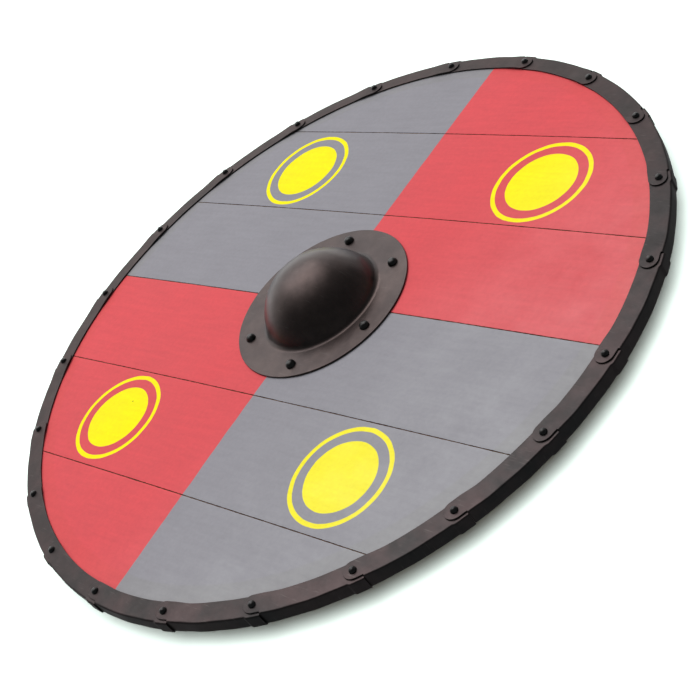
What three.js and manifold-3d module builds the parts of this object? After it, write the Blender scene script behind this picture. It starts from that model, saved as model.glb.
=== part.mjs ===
// A round wooden shield, lying on its back.
//
// Six boards make a disc, planed to a low crown on the face and bevelled at the edge. A rim of
// short steel channels, whose face leans with the bevel, goes round it, each channel lapped over
// the next and riveted through the lap. A domed steel boss covers the hand hole in the middle, and
// a wooden grip crosses that hole on the back.
//
// Millimetres, +Z up. The boards run along X. The origin is on the floor, on the rim's axis, under
// the grip, on which the shield rests.

import * as THREE from 'three';
import { mergeVertices } from 'three/addons/utils/BufferGeometryUtils.js';
import Module from 'manifold-3d';

const wasm = await Module();
wasm.setup();

// ---------------------------------------------------------------- driving dimensions

const SHIELD_RADIUS = 381; // to the outside of the rim, 30 inches across
const GAP = 0.3; // air between two pieces that touch

const BOARD_COUNT = 6;
const BOARD_PITCH = 125.5; // from joint to joint
const MIDDLE_OFFSET = 2.5; // middle joint, hand hole, boss and grip stand this far to +Y
const BOARD_JOINT = 0.5; // open line between two boards
const BOARD_THICK = 12; // at the very edge
const DISC_SIDES = 56;
const BEVEL_RISE = 2.3; // of the face, from the edge to the rim's inner edge
const SHOULDER_RADIUS = 240; // and goes on rising slowly
const SHOULDER_RISE = 4;
const CROWN_RADIUS = 112; // to a flat middle that carries the boss
const CROWN_RISE = 5.1;
const HAND_HOLE_RADIUS = 60;
const HAND_HOLE_SIDES = 18;

const SHEET = 1.2; // steel of the rim
const LEG_WIDTH = 22; // rim face, from its inner edge to the outside
const RIM_BEND = 1.8; // fold between the rim's face and its side
const RIM_COUNT = 22;
const FIRST_RIVET = 358.96; // degrees, anticlockwise from +X
const FIRST_PITCH = 17.01; // degrees to the second rivet
const PITCH_LOSS = 0.00387; // each pitch is closer than the first by this times its number squared
const RIM_RIVET_INSET = 10.5; // rivet line, in from the outside
const LAP_START = 8.3; // a channel begins this far before its first rivet
const TONGUE_LENGTH = 10.5; // and its tongue ends this far past its last one
const SWELL_END = 5.5; // the side stays swollen over the lap to here
const SETTLE = 4; // length in which the swollen side settles
const RISE = 25; // length in which the face leg climbs on the next channel
const TONGUE_SETBACK = 0.4; // the tongue stands back from the fold
const TONGUE_STEPS = 4; // in its rounded end
const ROOT_OVERLAP = 1; // tongue and wall tab reach this far into the channel they grow from

const BOSS_RADIUS = 101.6; // 8 inches across
const BOSS_SHEET = 2;
const BOSS_SIDES = 22;
const DOME_HEIGHT = 50; // above the flange's top
const DOME_CURVE = 69; // radius of the ball the dome is part of
const DOME_FILLET = 6;
const BOSS_RIVETS = 6;
const BOSS_RIVET_RADIUS = 86;
const BOSS_RIVET_START = -15; // degrees

const GRIP_ANGLE = 105; // degrees, along two opposite boss rivets
const GRIP_LENGTH = 204;
const GRIP_DEEP = 24; // middle of the grip
const GRIP_END_DEEP = 10;
const GRIP_END_WIDTH = 36;
const GRIP_WAIST_WIDTH = 28;
const GRIP_CHAMFER = 5;
const GRIP_MIDDLE = 56; // half length of the deep part
const GRIP_SHOULDER = 72; // where the thin ends begin

const RIM_RIVET = { head: 3.7, high: 3.6, shank: 1.8, tail: 3.4, tailHigh: 2 };
const BOSS_RIVET = { head: 5.5, high: 5.2, shank: 2.2, tail: 4.4, tailHigh: 2.4 };
const RIVET_SIDES = 6;
const SHOULDER_ACROSS = 0.8; // a head's outline bends at this share of its radius
const SHOULDER_UP = 0.62; // and this share of its height

// ---------------------------------------------------------------- levels and radii

const BOARD_BACK = GRIP_DEEP + GAP;
const BOARD_FACE = BOARD_BACK + BOARD_THICK;
const LEG_BOTTOM = BOARD_BACK - GAP - SHEET;
const LEG_TOP = BOARD_FACE + GAP + SHEET;
const LAP = SHEET + GAP; // one sheet on another
const FLANGE_BOTTOM = BOARD_FACE + CROWN_RISE + GAP;
const WOOD_RADIUS = SHIELD_RADIUS - SHEET - 2 * GAP;
const LEG_INNER = SHIELD_RADIUS - LEG_WIDTH;
const FOLD_RADIUS = SHIELD_RADIUS - RIM_BEND; // where the face leg ends and the fold begins
const RIM_RIVET_RADIUS = SHIELD_RADIUS - RIM_RIVET_INSET;

const radians = THREE.MathUtils.degToRad;

// ---------------------------------------------------------------- materials

const material = (color, roughness, metalness) =>
  new THREE.MeshStandardMaterial({ color, roughness, metalness });

const GREY_PAINT = material('#97979c', 0.6, 0);
const RED_PAINT = material('#dd5f63', 0.6, 0);
const ASH_WOOD = material('#b48a5a', 0.65, 0);
const BLACKENED_STEEL = material('#4c4644', 0.45, 0.9);
const BLACK_RIVET_STEEL = material('#1b1a1a', 0.3, 0.9);

// ---------------------------------------------------------------- helpers

// A closed mesh as a solid that can be joined and cut.
function solid(geometry) {
  const bare = geometry.clone();
  bare.deleteAttribute('normal');
  bare.deleteAttribute('uv');
  const merged = mergeVertices(bare, 1e-4);
  const index = merged.index.array;
  const triangles = [];
  for (let i = 0; i < index.length; i += 3) {
    const [a, b, c] = index.slice(i, i + 3);
    if (a !== b && b !== c && c !== a) triangles.push(a, b, c);
  }
  return new wasm.Manifold(new wasm.Mesh({
    numProp: 3,
    vertProperties: new Float32Array(merged.attributes.position.array),
    triVerts: new Uint32Array(triangles),
  }));
}

// A solid as a flat-shaded geometry.
function geometryOf(body) {
  const mesh = body.getMesh();
  const geometry = new THREE.BufferGeometry();
  geometry.setAttribute('position', new THREE.BufferAttribute(mesh.vertProperties, 3));
  geometry.setIndex(new THREE.BufferAttribute(mesh.triVerts, 1));
  geometry.computeVertexNormals();
  return geometry;
}

function named(name, body, look) {
  const mesh = new THREE.Mesh(geometryOf(body), look);
  mesh.name = name;
  return mesh;
}

// Six times the volume inside closed triangles, negative when they face inward.
function volumeOf(points, index) {
  const normal = new THREE.Vector3();
  let total = 0;
  for (let i = 0; i < index.length; i += 3) {
    const [a, b, c] = index.slice(i, i + 3).map((corner) => points[corner]);
    total += normal.crossVectors(b, c).dot(a);
  }
  return total;
}

// A skin through rings of equally many points, closed by a flat cap at both ends. The outline is a
// ring's shape in its own plane, anticlockwise.
function skin(rings, outline) {
  const count = outline.length;
  const last = (rings.length - 1) * count;
  const index = [];
  for (let i = 0; i < last; i += count) {
    for (let j = 0; j < count; j += 1) {
      const a = i + j;
      const b = i + ((j + 1) % count);
      index.push(a, b, b + count, a, b + count, a + count);
    }
  }
  THREE.ShapeUtils.triangulateShape(outline, []).forEach(([a, b, c]) => {
    index.push(a, c, b, last + a, last + b, last + c);
  });
  const points = rings.flat();
  if (volumeOf(points, index) < 0) index.reverse();
  const geometry = new THREE.BufferGeometry().setFromPoints(points);
  geometry.setIndex(index);
  return geometry;
}

// An upright disc or post of so many sides, from one level to another.
function post(radius, bottom, top, sides) {
  const geometry = new THREE.CylinderGeometry(radius, radius, top - bottom, sides);
  geometry.rotateX(Math.PI / 2);
  geometry.translate(0, 0, (top + bottom) / 2);
  return geometry;
}

// A box between two levels, centred on the Z axis.
function bar(halfX, halfY, bottom, top) {
  const geometry = new THREE.BoxGeometry(2 * halfX, 2 * halfY, top - bottom);
  geometry.translate(0, 0, (top + bottom) / 2);
  return geometry;
}

// Places a piece made on the Z axis at a radius and an angle, turned to face outward.
function outward(geometry, radius, angle) {
  geometry.translate(radius, 0, 0);
  geometry.rotateZ(angle);
  return geometry;
}

// Moves a piece made round the rim's axis to the shield's middle joint.
function toMiddle(geometry) {
  geometry.translate(0, MIDDLE_OFFSET, 0);
  return geometry;
}

// An upright form of revolution, from an outline of radius and level that goes up.
function turned(outline, sides) {
  const points = outline.map(([radius, height]) => new THREE.Vector2(radius, height));
  const geometry = new THREE.LatheGeometry(points, sides);
  geometry.rotateX(Math.PI / 2);
  return geometry;
}

// ---------------------------------------------------------------- where the rivets are

// The rim's channels were laid on one after another, closer and closer, and a short one closed the
// ring. Angles go anticlockwise.
function rimAngles() {
  const angles = [];
  let angle = FIRST_RIVET;
  for (let k = 0; k < RIM_COUNT; k += 1) {
    angles.push(radians(angle));
    angle += FIRST_PITCH - PITCH_LOSS * k * k;
  }
  return angles;
}

function bossAngles() {
  const step = 360 / BOSS_RIVETS;
  return Array.from({ length: BOSS_RIVETS }, (_, k) => radians(BOSS_RIVET_START + k * step));
}

const RIM_ANGLES = rimAngles();
const BOSS_ANGLES = bossAngles();

// The holes for all shanks, punched square, as one tool.
function rivetHoles() {
  const punch = (shank) => bar(shank + GAP, shank + GAP, -GAP, FLANGE_BOTTOM + DOME_HEIGHT);
  const rimHoles = RIM_ANGLES.map((angle) =>
    solid(outward(punch(RIM_RIVET.shank), RIM_RIVET_RADIUS, angle)));
  const bossHoles = BOSS_ANGLES.map((angle) =>
    solid(toMiddle(outward(punch(BOSS_RIVET.shank), BOSS_RIVET_RADIUS, angle))));
  return wasm.Manifold.union([...rimHoles, ...bossHoles]);
}

const HOLES = rivetHoles();

// ---------------------------------------------------------------- boards

// The disc that all boards together make: flat behind, crowned and bevelled in front.
function crownedDisc() {
  return solid(turned([
    [0, BOARD_BACK],
    [WOOD_RADIUS, BOARD_BACK],
    [WOOD_RADIUS, BOARD_FACE],
    [LEG_INNER, BOARD_FACE + BEVEL_RISE - GAP],
    [SHOULDER_RADIUS, BOARD_FACE + SHOULDER_RISE],
    [CROWN_RADIUS, BOARD_FACE + CROWN_RISE],
    [0, BOARD_FACE + CROWN_RISE],
  ], DISC_SIDES));
}

// Where the joint after a board lies. The first and the last board run out to the disc's edge.
function jointAfter(number) {
  if (number === 0) return SHIELD_RADIUS;
  if (number === BOARD_COUNT) return -SHIELD_RADIUS;
  return MIDDLE_OFFSET + (BOARD_COUNT / 2 - number) * BOARD_PITCH;
}

const DISC = crownedDisc();
const HAND_HOLE = solid(toMiddle(post(HAND_HOLE_RADIUS, 0, SHIELD_RADIUS, HAND_HOLE_SIDES)));

function board(number) {
  const high = jointAfter(number - 1) - BOARD_JOINT / 2;
  const low = jointAfter(number) + BOARD_JOINT / 2;
  const strip = bar(SHIELD_RADIUS, (high - low) / 2, 0, SHIELD_RADIUS);
  strip.translate(0, (high + low) / 2, 0);
  const body = DISC.intersect(solid(strip)).subtract(HAND_HOLE).subtract(HOLES);
  return named(`board_${number}`, body, number <= BOARD_COUNT / 2 ? GREY_PAINT : RED_PAINT);
}

// ---------------------------------------------------------------- rim

// How far the face leg stands above its outer end, because it leans with the boards' bevel.
function lean(radius, outerEnd) {
  return (BEVEL_RISE * (outerEnd - radius)) / (outerEnd - LEG_INNER);
}

// The channel's section as radius and level, with the side moved out and the face leg moved up.
function rimSection(swell, lift) {
  const side = SHIELD_RADIUS + swell;
  const top = LEG_TOP + lift;
  return [
    [LEG_INNER, top - SHEET + BEVEL_RISE],
    [side - SHEET, top - SHEET],
    [side - SHEET, LEG_BOTTOM + SHEET],
    [LEG_INNER, LEG_BOTTOM + SHEET],
    [LEG_INNER, LEG_BOTTOM],
    [side - RIM_BEND, LEG_BOTTOM],
    [side, LEG_BOTTOM + RIM_BEND],
    [side, top - RIM_BEND],
    [side - RIM_BEND, top],
    [LEG_INNER, top + BEVEL_RISE],
  ].map(([radius, level]) => new THREE.Vector2(radius, level));
}

// A point by radius, level and clockwise distance along the rim from a start angle.
function onRim(radius, level, along, start) {
  const angle = start - along / SHIELD_RADIUS;
  return new THREE.Vector3(radius * Math.cos(angle), radius * Math.sin(angle), level);
}

// The folded channel between two laps: swollen over the last channel's end where it starts, and
// stepped up on the next one where it ends.
function channel(start, length) {
  const settled = SWELL_END + SETTLE;
  const end = length - LAP_START - GAP;
  const rise = end - RISE;
  const stations = [
    [-LAP_START, LAP, 0],
    [SWELL_END, LAP, 0],
    [settled, 0, 0],
    [(settled + rise) / 2, 0, 0],
    [rise, 0, 0],
    [end, 0, LAP],
  ];
  const rings = stations.map(([along, swell, lift]) =>
    rimSection(swell, lift).map((point) => onRim(point.x, point.y, along, start)));
  return solid(skin(rings, rimSection(0, 0)));
}

// The rounded tongue of the face leg, which lies on the next channel around the rivet.
function tongue(start, length) {
  const root = length - LAP_START - ROOT_OVERLAP;
  const outer = FOLD_RADIUS - TONGUE_SETBACK;
  const half = (outer - LEG_INNER) / 2;
  const middle = LEG_INNER + half;
  const outline = [new THREE.Vector2(LEG_INNER, root), new THREE.Vector2(outer, root)];
  for (let i = 0; i <= TONGUE_STEPS; i += 1) {
    const turn = (Math.PI * i) / TONGUE_STEPS;
    const along = length + Math.sin(turn) * TONGUE_LENGTH;
    outline.push(new THREE.Vector2(middle + Math.cos(turn) * half, along));
  }
  const underside = [LEG_TOP + LAP - SHEET, SHIELD_RADIUS - SHEET];
  const face = [LEG_TOP + LAP, FOLD_RADIUS];
  const rings = [underside, face].map(([level, outerEnd]) =>
    outline.map((point) => onRim(point.x, level + lean(point.x, outerEnd), point.y, start)));
  return solid(skin(rings, outline));
}

// The end of the side wall, which tucks inside the next channel's swollen side.
function wallTab(start, length) {
  const inset = 0.1;
  const side = new THREE.Vector2(SHIELD_RADIUS - SHEET + inset, SHIELD_RADIUS - inset);
  const levels = new THREE.Vector2(BOARD_BACK + GAP, BOARD_FACE - GAP);
  const outline = [
    new THREE.Vector2(side.x, levels.x),
    new THREE.Vector2(side.y, levels.x),
    new THREE.Vector2(side.y, levels.y),
    new THREE.Vector2(side.x, levels.y),
  ];
  const root = length - LAP_START - ROOT_OVERLAP;
  const rings = [root, length + SWELL_END - 1].map((along) =>
    outline.map((point) => onRim(point.x, point.y, along, start)));
  return solid(skin(rings, outline));
}

function rimSegment(number) {
  const start = RIM_ANGLES[RIM_COUNT - number];
  const next = RIM_ANGLES[(2 * RIM_COUNT - number - 1) % RIM_COUNT];
  const turn = THREE.MathUtils.euclideanModulo(start - next, 2 * Math.PI);
  const length = turn * SHIELD_RADIUS;
  const body = channel(start, length)
    .add(tongue(start, length))
    .add(wallTab(start, length))
    .subtract(HOLES);
  return named(`rim_segment_${String(number).padStart(2, '0')}`, body, BLACKENED_STEEL);
}

// ---------------------------------------------------------------- boss

// Radius and level down the dome's skin, outside or inset by the sheet, from crown to flange.
function domeProfile(inset, domeSteps, filletSteps) {
  const crown = FLANGE_BOTTOM + BOSS_SHEET + DOME_HEIGHT;
  const reach = DOME_CURVE + DOME_FILLET;
  const lean = Math.acos((reach - DOME_HEIGHT) / reach);
  const filletX = reach * Math.sin(lean);
  const filletZ = FLANGE_BOTTOM + BOSS_SHEET + DOME_FILLET;
  const ball = DOME_CURVE - inset;
  const hollow = DOME_FILLET + inset;
  const points = [];
  for (let i = 0; i <= domeSteps; i += 1) {
    const turn = (lean * i) / domeSteps;
    points.push([ball * Math.sin(turn), crown - DOME_CURVE + ball * Math.cos(turn)]);
  }
  for (let i = 1; i <= filletSteps; i += 1) {
    const turn = lean * (1 - i / filletSteps);
    points.push([filletX - hollow * Math.sin(turn), filletZ - hollow * Math.cos(turn)]);
  }
  return points;
}

function boss() {
  const inside = domeProfile(BOSS_SHEET, 4, 2);
  const edge = [
    [BOSS_RADIUS, FLANGE_BOTTOM],
    [BOSS_RADIUS, FLANGE_BOTTOM + BOSS_SHEET],
  ];
  const outside = domeProfile(0, 5, 2).reverse();
  const dish = toMiddle(turned([...inside, ...edge, ...outside], BOSS_SIDES));
  return named('boss', solid(dish).subtract(HOLES), BLACKENED_STEEL);
}

// ---------------------------------------------------------------- rivets

// A domed head, a shank and a tail hammered down, with the levels that head and tail bear on.
function rivet(size, headSeat, tailSeat) {
  return turned([
    [0, tailSeat - size.tailHigh],
    [size.tail, tailSeat],
    [size.shank, tailSeat],
    [size.shank, headSeat],
    [size.head, headSeat],
    [size.head * SHOULDER_ACROSS, headSeat + size.high * SHOULDER_UP],
    [0, headSeat + size.high],
  ], RIVET_SIDES);
}

function rimRivet(number) {
  const angle = RIM_ANGLES[RIM_COUNT - number];
  const headInside = RIM_RIVET_RADIUS - RIM_RIVET.head;
  const headSeat = LEG_TOP + LAP + lean(headInside, FOLD_RADIUS) + GAP;
  const geometry = rivet(RIM_RIVET, headSeat, LEG_BOTTOM - GAP);
  const body = solid(outward(geometry, RIM_RIVET_RADIUS, angle));
  return named(`rim_rivet_${String(number).padStart(2, '0')}`, body, BLACK_RIVET_STEEL);
}

// The two rivets on the grip's line go through its ends as well.
function bossRivet(number) {
  const angle = BOSS_ANGLES[number - 1];
  const offLine = Math.abs(Math.sin(angle - radians(GRIP_ANGLE))) * BOSS_RIVET_RADIUS;
  const onGrip = offLine < GRIP_END_WIDTH / 2;
  const tailSeat = onGrip ? GRIP_DEEP - GRIP_END_DEEP - GAP : BOARD_BACK - GAP;
  const geometry = rivet(BOSS_RIVET, FLANGE_BOTTOM + BOSS_SHEET + GAP, tailSeat);
  const body = solid(toMiddle(outward(geometry, BOSS_RIVET_RADIUS, angle)));
  return named(`boss_rivet_${number}`, body, BLACK_RIVET_STEEL);
}

// ---------------------------------------------------------------- grip

// A rectangle with its corners cut off, by half width and levels.
function gripSection(half, bottom) {
  const cut = GRIP_CHAMFER * (half / (GRIP_END_WIDTH / 2));
  const low = Math.min(cut, (GRIP_DEEP - bottom) / 3);
  const corners = [
    [half, bottom + low],
    [half, GRIP_DEEP - low],
    [half - cut, GRIP_DEEP],
    [cut - half, GRIP_DEEP],
    [-half, GRIP_DEEP - low],
    [-half, bottom + low],
    [cut - half, bottom],
    [half - cut, bottom],
  ];
  return corners.map(([across, level]) => new THREE.Vector2(across, level));
}

function grip() {
  const end = GRIP_LENGTH / 2;
  const thin = GRIP_DEEP - GRIP_END_DEEP;
  const stations = [
    [-end, GRIP_END_WIDTH, thin],
    [-GRIP_SHOULDER, GRIP_END_WIDTH, thin],
    [-GRIP_MIDDLE, GRIP_END_WIDTH, 0],
    [-GRIP_MIDDLE / 2, GRIP_WAIST_WIDTH, 0],
    [GRIP_MIDDLE / 2, GRIP_WAIST_WIDTH, 0],
    [GRIP_MIDDLE, GRIP_END_WIDTH, 0],
    [GRIP_SHOULDER, GRIP_END_WIDTH, thin],
    [end, GRIP_END_WIDTH, thin],
  ];
  const rings = stations.map(([along, width, bottom]) =>
    gripSection(width / 2, bottom).map((point) => new THREE.Vector3(along, point.x, point.y)));
  const geometry = skin(rings, gripSection(GRIP_END_WIDTH / 2, thin));
  geometry.rotateZ(radians(GRIP_ANGLE));
  return named('hand_grip', solid(toMiddle(geometry)).subtract(HOLES), ASH_WOOD);
}

// ---------------------------------------------------------------- the shield

const shield = new THREE.Group();
for (let i = 1; i <= BOARD_COUNT; i += 1) shield.add(board(i));
for (let i = 1; i <= RIM_COUNT; i += 1) shield.add(rimSegment(i), rimRivet(i));
shield.add(boss());
for (let i = 1; i <= BOSS_RIVETS; i += 1) shield.add(bossRivet(i));
shield.add(grip());

export default shield;
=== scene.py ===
# %% [markdown]
# # A round wooden shield
# Six boards make the disc, a rim of lapped steel channels holds them together, and a domed steel
# boss covers the hole that the fist goes in. The shield lies on its back, with its grip on the
# floor. Blender gives it its looks here: the measured model comes in as a fixed frame, and each
# piece takes its place from that frame, and its size from there or from the numbers written out
# here.

import bpy
import numpy as np
from mathutils import Matrix, Vector


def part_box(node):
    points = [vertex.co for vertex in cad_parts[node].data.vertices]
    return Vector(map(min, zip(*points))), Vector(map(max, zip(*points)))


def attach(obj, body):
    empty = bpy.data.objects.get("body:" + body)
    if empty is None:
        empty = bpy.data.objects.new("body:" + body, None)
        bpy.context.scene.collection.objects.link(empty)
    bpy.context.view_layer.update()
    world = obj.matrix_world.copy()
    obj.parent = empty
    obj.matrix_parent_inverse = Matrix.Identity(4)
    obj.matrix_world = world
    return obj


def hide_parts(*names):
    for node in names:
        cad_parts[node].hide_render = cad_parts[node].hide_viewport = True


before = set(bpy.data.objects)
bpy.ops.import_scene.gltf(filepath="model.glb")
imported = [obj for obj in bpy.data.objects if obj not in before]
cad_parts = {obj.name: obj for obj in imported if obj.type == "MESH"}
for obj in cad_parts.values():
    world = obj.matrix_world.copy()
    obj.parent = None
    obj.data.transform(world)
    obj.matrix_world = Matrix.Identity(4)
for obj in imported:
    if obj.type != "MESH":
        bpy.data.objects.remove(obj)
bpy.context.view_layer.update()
MM = 0.001
print("frame nodes:", len(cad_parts))

# %% [markdown]
# Lengths below are in millimetres, and become metres only when a mesh is made.
# `extent` reads one node of the frame, and the sizes that several pieces share are taken from it
# once. What a node's box can't tell, such as the sheet's thickness, is written out.

# %% Read the shared sizes
def extent(node):
    """Lowest and highest corner of a frame node, in millimetres."""
    low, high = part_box(node)
    return np.array(low) / MM, np.array(high) / MM


BOARDS = 6
CHANNELS = 22
SHEET = 1.2  # steel of the rim
LAP = 1.5  # one sheet on another, with the air between
BEND = 1.8  # the fold between the rim's face and its side
BEVEL_RISE = 2.3  # the rim's face leans: its inner edge is this much higher than the fold
RIM_RADIUS = 381
RIM_INNER = 359
WOOD_RADIUS = 379.2
RIM_BOTTOM = extent("rim_segment_01")[0][2]
RIM_TOP = extent("rim_segment_01")[1][2] - LAP - BEVEL_RISE
BACK = extent("board_1")[0][2]
FACE = RIM_TOP - LAP  # the boards' face at the very edge
CROWN = extent("board_3")[1][2] - FACE  # and how much higher it is in the middle
CROWN_RADIUS = 112
MIDDLE = (extent("board_3")[0][1] + extent("board_4")[1][1]) / 2  # the joint that the boss sits on
BOARD_PITCH = extent("board_3")[0][1] - extent("board_4")[0][1]


def lean(radius):
    """How much higher the rim's face stands at a radius than at its fold."""
    fold = RIM_RADIUS - BEND
    return np.clip(BEVEL_RISE * (fold - radius) / (fold - RIM_INNER), 0, None)


def crown(radius):
    """Height of the boards' face over their very edge: a straight bevel as far as the rim covers
    it, then a slow rise, as the power 1.5 of the distance, to the flat middle."""
    bevel = (BEVEL_RISE - 0.3) * (WOOD_RADIUS - radius) / (WOOD_RADIUS - RIM_INNER)
    outward = np.clip((radius - CROWN_RADIUS) / (RIM_INNER - CROWN_RADIUS), 0, 1)
    return np.where(radius > RIM_INNER, bevel, CROWN - (CROWN - BEVEL_RISE + 0.3) * outward**1.5)


print(f"boards {BACK:.1f} to {FACE:.1f}, crown {CROWN:.1f}, rim {RIM_BOTTOM:.1f} to {RIM_TOP:.1f}")
print(f"middle joint at {MIDDLE:.2f}, boards {BOARD_PITCH:.2f} apart")

# %% [markdown]
# ## Camera
# The camera comes first, so that every later choice of detail can be judged in its view. It stands
# low on the +X side and is rolled, which tips the round shield into a leaning ellipse. It is
# described as in a studio: a point to aim at, a direction and distance to stand off, and a roll.
# From those, three axes are worked out and become the columns of its rotation.

# %% Place the camera
def direction(azimuth, elevation):
    """Unit vector towards an azimuth from +X and an elevation above the floor, in degrees."""
    azimuth, elevation = np.radians([azimuth, elevation])
    flat = np.cos(elevation)
    return Vector((flat * np.cos(azimuth), flat * np.sin(azimuth), np.sin(elevation)))


AIM = Vector((79.8, -47.5, FACE + BEVEL_RISE)) * MM
CAMERA_AZIMUTH = -27.4
CAMERA_ELEVATION = 35.31
CAMERA_DISTANCE = 1.4666
CAMERA_ROLL = -38.05
CAMERA_LENS = 76.37  # on a sensor 36 wide

away = direction(CAMERA_AZIMUTH, CAMERA_ELEVATION)
level = Vector((0, 0, 1)).cross(away).normalized()
raised = away.cross(level)
roll = np.radians(CAMERA_ROLL)
right = np.cos(roll) * level + np.sin(roll) * raised
up = np.cos(roll) * raised - np.sin(roll) * level

camera = bpy.data.objects.new("camera", bpy.data.cameras.new("camera"))
bpy.context.scene.collection.objects.link(camera)
camera.data.lens = CAMERA_LENS
camera.data.sensor_width = 36
camera.matrix_world = Matrix((right, up, away)).transposed().to_4x4()
camera.location = AIM + away * CAMERA_DISTANCE
bpy.context.scene.camera = camera
print("camera at", [round(c, 3) for c in camera.location])

# %% [markdown]
# ## Light
# The light comes from behind the shield, opposite the camera. A square softbox gives most of it. It
# hangs high and so far off that one side of the shield gets as much as the other, and it is large
# enough to stay soft there. A pale wall behind carries its glow down to the floor. Paint scatters
# that light evenly, while the satin steel mirrors it: the dome is bright on the far side and falls
# to black towards the camera.

# %% Hang the softbox
LIGHT_AZIMUTH = 153
SOFTBOX_ELEVATION = 62
SOFTBOX_DISTANCE = 12.0
SOFTBOX_SIZE = 10.8
SOFTBOX_POWER = 1180


def hang(name, kind, azimuth, elevation, distance):
    """A lamp at a direction and distance from the shield, turned to shine on it."""
    lamp = bpy.data.objects.new(name, bpy.data.lights.new(name, kind))
    bpy.context.scene.collection.objects.link(lamp)
    towards = direction(azimuth, elevation)
    lamp.location = towards * distance
    lamp.rotation_mode = "QUATERNION"
    lamp.rotation_quaternion = towards.to_track_quat("Z", "Y")
    lamp.visible_camera = False
    return lamp


softbox = hang("softbox", "AREA", LIGHT_AZIMUTH, SOFTBOX_ELEVATION, SOFTBOX_DISTANCE)
softbox.data.shape = "SQUARE"
softbox.data.size = SOFTBOX_SIZE
softbox.data.energy = SOFTBOX_POWER
# Standard passes colours on unchanged, so the paints stay those of the paint chart
bpy.context.scene.view_settings.view_transform = "Standard"
print("softbox power", SOFTBOX_POWER)

# %% [markdown]
# ## Tools for meshes
# Each piece is a surface worked out with numpy. A grid of points is a function of two parameters,
# and the grid's cells are its faces. `make_piece` turns points and faces into an object. It checks
# by the enclosed volume that the faces look outward, and it ties the piece to the frame: what it
# rides on, and the node that it stands for.

# %% Helpers that turn numbers into pieces
def cells(rows, columns, loop=False):
    """Four point numbers for each cell of a grid; loop joins the last column to the first."""
    row = np.arange(rows - 1)[:, None] * columns
    column = np.arange(columns if loop else columns - 1)[None, :]
    beside = (column + 1) % columns
    corners = [row + column, row + beside, row + columns + beside, row + columns + column]
    return np.stack(corners, -1).reshape(-1, 4)


def volume(points, faces):
    """Six times the enclosed volume: each face is a fan of triangles seen from the origin."""
    a, b, c = (points[faces[:, i]] for i in (0, 1, 2))
    d = points[faces[:, 3]]
    return (a * np.cross(b, c)).sum() + (a * np.cross(c, d)).sum()


def make_piece(name, points, faces, node, looks, look=None, crease=38):
    """An object from points in millimetres and rows of four corners, a repeated corner meaning a
    triangle. `look` numbers each face's material, and edges sharper than `crease` degrees stay
    sharp."""
    if volume(points, faces) < 0:
        faces = faces[:, ::-1]
    listed = [list(dict.fromkeys(face)) for face in faces.tolist()]
    mesh = bpy.data.meshes.new(name)
    mesh.from_pydata((points * MM).tolist(), [], listed, shade_flat=False)
    for material in looks:
        mesh.materials.append(material)
    if look is not None:
        mesh.polygons.foreach_set("material_index", look.astype(np.int32))
    mesh.set_sharp_from_angle(angle=np.radians(crease))
    piece = bpy.data.objects.new(name, mesh)
    bpy.context.scene.collection.objects.link(piece)
    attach(piece, "root")
    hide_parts(node)
    return piece


def smooth(value, low, high):
    """0 up to low, 1 from high, and an S-shaped curve between."""
    share = np.clip((value - low) / (high - low), 0, 1)
    return share * share * (3 - 2 * share)


def unevenness(seed, length, *place):
    """Smooth chance height, mostly between -1 and 1: twelve sine waves of seeded direction, from
    `length` millimetres long down to a third of it, added up."""
    chance = np.random.default_rng(seed)
    total = 0
    for _ in range(12):
        heading = chance.normal(size=len(place))
        heading *= 2 * np.pi / (np.linalg.norm(heading) * length * chance.uniform(0.35, 1))
        total = total + np.sin(sum(h * p for h, p in zip(heading, place)) + chance.uniform(0, 7))
    return total / 5


print("a grid of 3 by 4 points has", len(cells(3, 4)), "cells")

# %% [markdown]
# ## Tools for materials
# Colours are written as the hex values that a paint chart would give, and one function turns them
# to the linear numbers that Blender mixes. One function adds a node: its own settings by name, and
# for each socket a number, a colour or another node's output.

# %% Helpers for colours and nodes
def hex_colour(code):
    """A #rrggbb colour as linear red, green, blue and 1."""
    part = np.array([int(code[i : i + 2], 16) for i in (1, 3, 5)]) / 255
    linear = np.where(part <= 0.04045, part / 12.92, ((part + 0.055) / 1.055) ** 2.4)
    return (*linear.tolist(), 1.0)


def node(tree, kind, sockets=(), **settings):
    """Adds a node of a kind, sets its settings, and fills or links its input sockets."""
    made = tree.nodes.new(kind)
    for name, value in settings.items():
        setattr(made, name, value)
    for socket, value in dict(sockets).items():
        if isinstance(value, bpy.types.NodeSocket):
            tree.links.new(value, made.inputs[socket])
        else:
            made.inputs[socket].default_value = value
    return made


def new_material(name):
    """An empty node material with its Principled shader and the Object coordinates."""
    material = bpy.data.materials.new(name)
    material.use_nodes = True
    tree = material.node_tree
    place = node(tree, "ShaderNodeTexCoord").outputs["Object"]
    return material, tree, tree.nodes["Principled BSDF"], place


print("#808080 in linear light is", round(hex_colour("#808080")[0], 3))

# %% [markdown]
# The wall behind the shield is a part of the world that is brighter in one direction. The cosine
# between a ray and the middle of that glow says how far off it is, and a smooth step turns it into
# brightness with a soft edge. The rest of the world gives a little fill, more from below than from
# above.

# %% Paint the studio's wall
WALL_ELEVATION = 18
WALL_GLOW = 1.35
WALL_EDGE, WALL_FULL = 0.33, 0.87  # cosines from its middle
FILL_ABOVE, FILL_BELOW = 0.14, 0.34
FILL_COLOUR = (0.86, 1.0, 1.03)  # a little cooler than the softbox


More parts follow.
